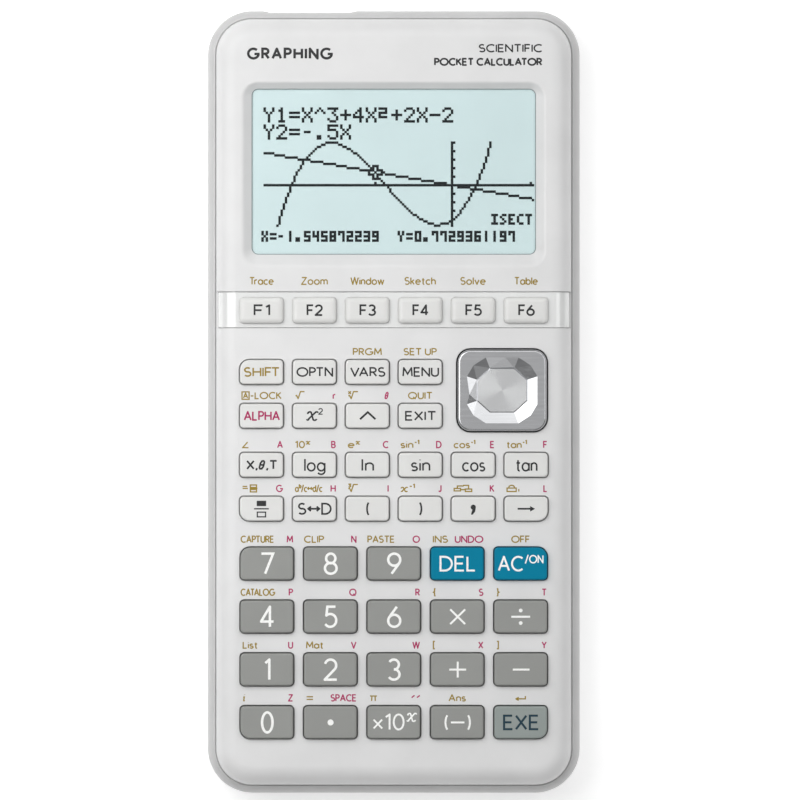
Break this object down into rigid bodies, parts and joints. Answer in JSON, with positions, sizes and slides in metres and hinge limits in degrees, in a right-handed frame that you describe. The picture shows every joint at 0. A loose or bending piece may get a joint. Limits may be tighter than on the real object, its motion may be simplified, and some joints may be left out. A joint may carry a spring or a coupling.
{
  "type": "graphing calculator",
  "caption": "Handheld graphing calculator lying on its back, with a dot-matrix display, function and number keys, a tilting direction pad, a hinged battery cover and link sockets.",
  "frame": {"origin": "centre of the bounding box, on the plane that the feet stand on", "axes": "+X to the right across the face, +Y along the length towards the display, +Z out of the face"},
  "size_m": [0.0834, 0.1756, 0.0186],
  "materials": {
    "case_front": "fine moulded grain, satin",
    "case_rear": "fine moulded grain, satin",
    "window": "clear, gloss",
    "lcd_glass": "satin reflective display",
    "trim_gloss": "polished",
    "circuit_board": "solder mask",
    "membrane_rubber": "matte",
    "socket_metal": "nickel",
    "cell_jacket": "printed sleeve over a metal can",
    "contact_steel": "nickel plated",
    "screw_steel": "zinc plated",
    "pivot_plastic": "satin",
    "pad_chrome": "satin chrome with a spun centre",
    "key_white": "satin",
    "key_grey": "satin",
    "key_blue": "satin",
    "key_silver": "satin"
  },
  "bodies": {
    "case": {"front_case": "case_front", "rear_case": "case_rear", "display_window": "window", "lcd_module": "lcd_glass", "function_key_trim": "trim_gloss", "main_board": "circuit_board", "keypad_membrane": "membrane_rubber", "port_sockets": "socket_metal", "aaa_cells": "cell_jacket", "battery_contacts": "contact_steel", "case_screws": "screw_steel"},
    "pad_pivot": {"pad_pivot": "pivot_plastic"},
    "direction_pad": {"direction_pad": "pad_chrome"},
    "battery_cover": {"battery_cover": "case_rear"},
    "key_f1": {"key_f1": "key_white"},
    "key_f2": {"key_f2": "key_white"},
    "key_f3": {"key_f3": "key_white"},
    "key_f4": {"key_f4": "key_white"},
    "key_f5": {"key_f5": "key_white"},
    "key_f6": {"key_f6": "key_white"},
    "key_shift": {"key_shift": "key_white"},
    "key_options": {"key_options": "key_white"},
    "key_variables": {"key_variables": "key_white"},
    "key_menu": {"key_menu": "key_white"},
    "key_alpha": {"key_alpha": "key_white"},
    "key_square": {"key_square": "key_white"},
    "key_power": {"key_power": "key_white"},
    "key_exit": {"key_exit": "key_white"},
    "key_x_theta_t": {"key_x_theta_t": "key_white"},
    "key_log": {"key_log": "key_white"},
    "key_ln": {"key_ln": "key_white"},
    "key_sin": {"key_sin": "key_white"},
    "key_cos": {"key_cos": "key_white"},
    "key_tan": {"key_tan": "key_white"},
    "key_fraction": {"key_fraction": "key_white"},
    "key_convert": {"key_convert": "key_white"},
    "key_open_bracket": {"key_open_bracket": "key_white"},
    "key_close_bracket": {"key_close_bracket": "key_white"},
    "key_comma": {"key_comma": "key_white"},
    "key_store_arrow": {"key_store_arrow": "key_white"},
    "key_7": {"key_7": "key_grey"},
    "key_8": {"key_8": "key_grey"},
    "key_9": {"key_9": "key_grey"},
    "key_delete": {"key_delete": "key_blue"},
    "key_all_clear": {"key_all_clear": "key_blue"},
    "key_4": {"key_4": "key_grey"},
    "key_5": {"key_5": "key_grey"},
    "key_6": {"key_6": "key_grey"},
    "key_multiply": {"key_multiply": "key_grey"},
    "key_divide": {"key_divide": "key_grey"},
    "key_1": {"key_1": "key_grey"},
    "key_2": {"key_2": "key_grey"},
    "key_3": {"key_3": "key_grey"},
    "key_plus": {"key_plus": "key_grey"},
    "key_minus": {"key_minus": "key_grey"},
    "key_0": {"key_0": "key_grey"},
    "key_point": {"key_point": "key_grey"},
    "key_exponent": {"key_exponent": "key_grey"},
    "key_negative": {"key_negative": "key_grey"},
    "key_execute": {"key_execute": "key_silver"}
  },
  "joints": [
    {"name": "pad_tilt_up_down", "type": "hinge", "parent": "case", "child": "pad_pivot", "pos_m": [0.0242, 0.0026, 0.0148], "axis": [1, 0, 0], "range_deg": [-2.5, 2.5], "stiffness_Nm_per_rad": 0.25},
    {"name": "pad_tilt_left_right", "type": "hinge", "parent": "pad_pivot", "child": "direction_pad", "pos_m": [0.0242, 0.0026, 0.0148], "axis": [0, 1, 0], "range_deg": [-2.5, 2.5], "stiffness_Nm_per_rad": 0.25},
    {"name": "battery_cover_hinge", "type": "hinge", "parent": "case", "child": "battery_cover", "pos_m": [0, 0.07395, 0.00105], "axis": [1, 0, 0], "range_deg": [0, 60]},
    {"name": "key_f1_press", "type": "slide", "parent": "case", "child": "key_f1", "axis": [0, 0, -1], "range_m": [0, 0.001], "stiffness_N_per_m": 350, "deforming": ["keypad_membrane"]},
    {"name": "key_f2_press", "type": "slide", "parent": "case", "child": "key_f2", "axis": [0, 0, -1], "range_m": [0, 0.001], "stiffness_N_per_m": 350, "deforming": ["keypad_membrane"]},
    {"name": "key_f3_press", "type": "slide", "parent": "case", "child": "key_f3", "axis": [0, 0, -1], "range_m": [0, 0.001], "stiffness_N_per_m": 350, "deforming": ["keypad_membrane"]},
    {"name": "key_f4_press", "type": "slide", "parent": "case", "child": "key_f4", "axis": [0, 0, -1], "range_m": [0, 0.001], "stiffness_N_per_m": 350, "deforming": ["keypad_membrane"]},
    {"name": "key_f5_press", "type": "slide", "parent": "case", "child": "key_f5", "axis": [0, 0, -1], "range_m": [0, 0.001], "stiffness_N_per_m": 350, "deforming": ["keypad_membrane"]},
    {"name": "key_f6_press", "type": "slide", "parent": "case", "child": "key_f6", "axis": [0, 0, -1], "range_m": [0, 0.001], "stiffness_N_per_m": 350, "deforming": ["keypad_membrane"]},
    {"name": "key_shift_press", "type": "slide", "parent": "case", "child": "key_shift", "axis": [0, 0, -1], "range_m": [0, 0.001], "stiffness_N_per_m": 350, "deforming": ["keypad_membrane"]},
    {"name": "key_options_press", "type": "slide", "parent": "case", "child": "key_options", "axis": [0, 0, -1], "range_m": [0, 0.001], "stiffness_N_per_m": 350, "deforming": ["keypad_membrane"]},
    {"name": "key_variables_press", "type": "slide", "parent": "case", "child": "key_variables", "axis": [0, 0, -1], "range_m": [0, 0.001], "stiffness_N_per_m": 350, "deforming": ["keypad_membrane"]},
    {"name": "key_menu_press", "type": "slide", "parent": "case", "child": "key_menu", "axis": [0, 0, -1], "range_m": [0, 0.001], "stiffness_N_per_m": 350, "deforming": ["keypad_membrane"]},
    {"name": "key_alpha_press", "type": "slide", "parent": "case", "child": "key_alpha", "axis": [0, 0, -1], "range_m": [0, 0.001], "stiffness_N_per_m": 350, "deforming": ["keypad_membrane"]},
    {"name": "key_square_press", "type": "slide", "parent": "case", "child": "key_square", "axis": [0, 0, -1], "range_m": [0, 0.001], "stiffness_N_per_m": 350, "deforming": ["keypad_membrane"]},
    {"name": "key_power_press", "type": "slide", "parent": "case", "child": "key_power", "axis": [0, 0, -1], "range_m": [0, 0.001], "stiffness_N_per_m": 350, "deforming": ["keypad_membrane"]},
    {"name": "key_exit_press", "type": "slide", "parent": "case", "child": "key_exit", "axis": [0, 0, -1], "range_m": [0, 0.001], "stiffness_N_per_m": 350, "deforming": ["keypad_membrane"]},
    {"name": "key_x_theta_t_press", "type": "slide", "parent": "case", "child": "key_x_theta_t", "axis": [0, 0, -1], "range_m": [0, 0.001], "stiffness_N_per_m": 350, "deforming": ["keypad_membrane"]},
    {"name": "key_log_press", "type": "slide", "parent": "case", "child": "key_log", "axis": [0, 0, -1], "range_m": [0, 0.001], "stiffness_N_per_m": 350, "deforming": ["keypad_membrane"]},
    {"name": "key_ln_press", "type": "slide", "parent": "case", "child": "key_ln", "axis": [0, 0, -1], "range_m": [0, 0.001], "stiffness_N_per_m": 350, "deforming": ["keypad_membrane"]},
    {"name": "key_sin_press", "type": "slide", "parent": "case", "child": "key_sin", "axis": [0, 0, -1], "range_m": [0, 0.001], "stiffness_N_per_m": 350, "deforming": ["keypad_membrane"]},
    {"name": "key_cos_press", "type": "slide", "parent": "case", "child": "key_cos", "axis": [0, 0, -1], "range_m": [0, 0.001], "stiffness_N_per_m": 350, "deforming": ["keypad_membrane"]},
    {"name": "key_tan_press", "type": "slide", "parent": "case", "child": "key_tan", "axis": [0, 0, -1], "range_m": [0, 0.001], "stiffness_N_per_m": 350, "deforming": ["keypad_membrane"]},
    {"name": "key_fraction_press", "type": "slide", "parent": "case", "child": "key_fraction", "axis": [0, 0, -1], "range_m": [0, 0.001], "stiffness_N_per_m": 350, "deforming": ["keypad_membrane"]},
    {"name": "key_convert_press", "type": "slide", "parent": "case", "child": "key_convert", "axis": [0, 0, -1], "range_m": [0, 0.001], "stiffness_N_per_m": 350, "deforming": ["keypad_membrane"]},
    {"name": "key_open_bracket_press", "type": "slide", "parent": "case", "child": "key_open_bracket", "axis": [0, 0, -1], "range_m": [0, 0.001], "stiffness_N_per_m": 350, "deforming": ["keypad_membrane"]},
    {"name": "key_close_bracket_press", "type": "slide", "parent": "case", "child": "key_close_bracket", "axis": [0, 0, -1], "range_m": [0, 0.001], "stiffness_N_per_m": 350, "deforming": ["keypad_membrane"]},
    {"name": "key_comma_press", "type": "slide", "parent": "case", "child": "key_comma", "axis": [0, 0, -1], "range_m": [0, 0.001], "stiffness_N_per_m": 350, "deforming": ["keypad_membrane"]},
    {"name": "key_store_arrow_press", "type": "slide", "parent": "case", "child": "key_store_arrow", "axis": [0, 0, -1], "range_m": [0, 0.001], "stiffness_N_per_m": 350, "deforming": ["keypad_membrane"]},
    {"name": "key_7_press", "type": "slide", "parent": "case", "child": "key_7", "axis": [0, 0, -1], "range_m": [0, 0.001], "stiffness_N_per_m": 350, "deforming": ["keypad_membrane"]},
    {"name": "key_8_press", "type": "slide", "parent": "case", "child": "key_8", "axis": [0, 0, -1], "range_m": [0, 0.001], "stiffness_N_per_m": 350, "deforming": ["keypad_membrane"]},
    {"name": "key_9_press", "type": "slide", "parent": "case", "child": "key_9", "axis": [0, 0, -1], "range_m": [0, 0.001], "stiffness_N_per_m": 350, "deforming": ["keypad_membrane"]},
    {"name": "key_delete_press", "type": "slide", "parent": "case", "child": "key_delete", "axis": [0, 0, -1], "range_m": [0, 0.001], "stiffness_N_per_m": 350, "deforming": ["keypad_membrane"]},
    {"name": "key_all_clear_press", "type": "slide", "parent": "case", "child": "key_all_clear", "axis": [0, 0, -1], "range_m": [0, 0.001], "stiffness_N_per_m": 350, "deforming": ["keypad_membrane"]},
    {"name": "key_4_press", "type": "slide", "parent": "case", "child": "key_4", "axis": [0, 0, -1], "range_m": [0, 0.001], "stiffness_N_per_m": 350, "deforming": ["keypad_membrane"]},
    {"name": "key_5_press", "type": "slide", "parent": "case", "child": "key_5", "axis": [0, 0, -1], "range_m": [0, 0.001], "stiffness_N_per_m": 350, "deforming": ["keypad_membrane"]},
    {"name": "key_6_press", "type": "slide", "parent": "case", "child": "key_6", "axis": [0, 0, -1], "range_m": [0, 0.001], "stiffness_N_per_m": 350, "deforming": ["keypad_membrane"]},
    {"name": "key_multiply_press", "type": "slide", "parent": "case", "child": "key_multiply", "axis": [0, 0, -1], "range_m": [0, 0.001], "stiffness_N_per_m": 350, "deforming": ["keypad_membrane"]},
    {"name": "key_divide_press", "type": "slide", "parent": "case", "child": "key_divide", "axis": [0, 0, -1], "range_m": [0, 0.001], "stiffness_N_per_m": 350, "deforming": ["keypad_membrane"]},
    {"name": "key_1_press", "type": "slide", "parent": "case", "child": "key_1", "axis": [0, 0, -1], "range_m": [0, 0.001], "stiffness_N_per_m": 350, "deforming": ["keypad_membrane"]},
    {"name": "key_2_press", "type": "slide", "parent": "case", "child": "key_2", "axis": [0, 0, -1], "range_m": [0, 0.001], "stiffness_N_per_m": 350, "deforming": ["keypad_membrane"]},
    {"name": "key_3_press", "type": "slide", "parent": "case", "child": "key_3", "axis": [0, 0, -1], "range_m": [0, 0.001], "stiffness_N_per_m": 350, "deforming": ["keypad_membrane"]},
    {"name": "key_plus_press", "type": "slide", "parent": "case", "child": "key_plus", "axis": [0, 0, -1], "range_m": [0, 0.001], "stiffness_N_per_m": 350, "deforming": ["keypad_membrane"]},
    {"name": "key_minus_press", "type": "slide", "parent": "case", "child": "key_minus", "axis": [0, 0, -1], "range_m": [0, 0.001], "stiffness_N_per_m": 350, "deforming": ["keypad_membrane"]},
    {"name": "key_0_press", "type": "slide", "parent": "case", "child": "key_0", "axis": [0, 0, -1], "range_m": [0, 0.001], "stiffness_N_per_m": 350, "deforming": ["keypad_membrane"]},
    {"name": "key_point_press", "type": "slide", "parent": "case", "child": "key_point", "axis": [0, 0, -1], "range_m": [0, 0.001], "stiffness_N_per_m": 350, "deforming": ["keypad_membrane"]},
    {"name": "key_exponent_press", "type": "slide", "parent": "case", "child": "key_exponent", "axis": [0, 0, -1], "range_m": [0, 0.001], "stiffness_N_per_m": 350, "deforming": ["keypad_membrane"]},
    {"name": "key_negative_press", "type": "slide", "parent": "case", "child": "key_negative", "axis": [0, 0, -1], "range_m": [0, 0.001], "stiffness_N_per_m": 350, "deforming": ["keypad_membrane"]},
    {"name": "key_execute_press", "type": "slide", "parent": "case", "child": "key_execute", "axis": [0, 0, -1], "range_m": [0, 0.001], "stiffness_N_per_m": 350, "deforming": ["keypad_membrane"]}
  ]
}
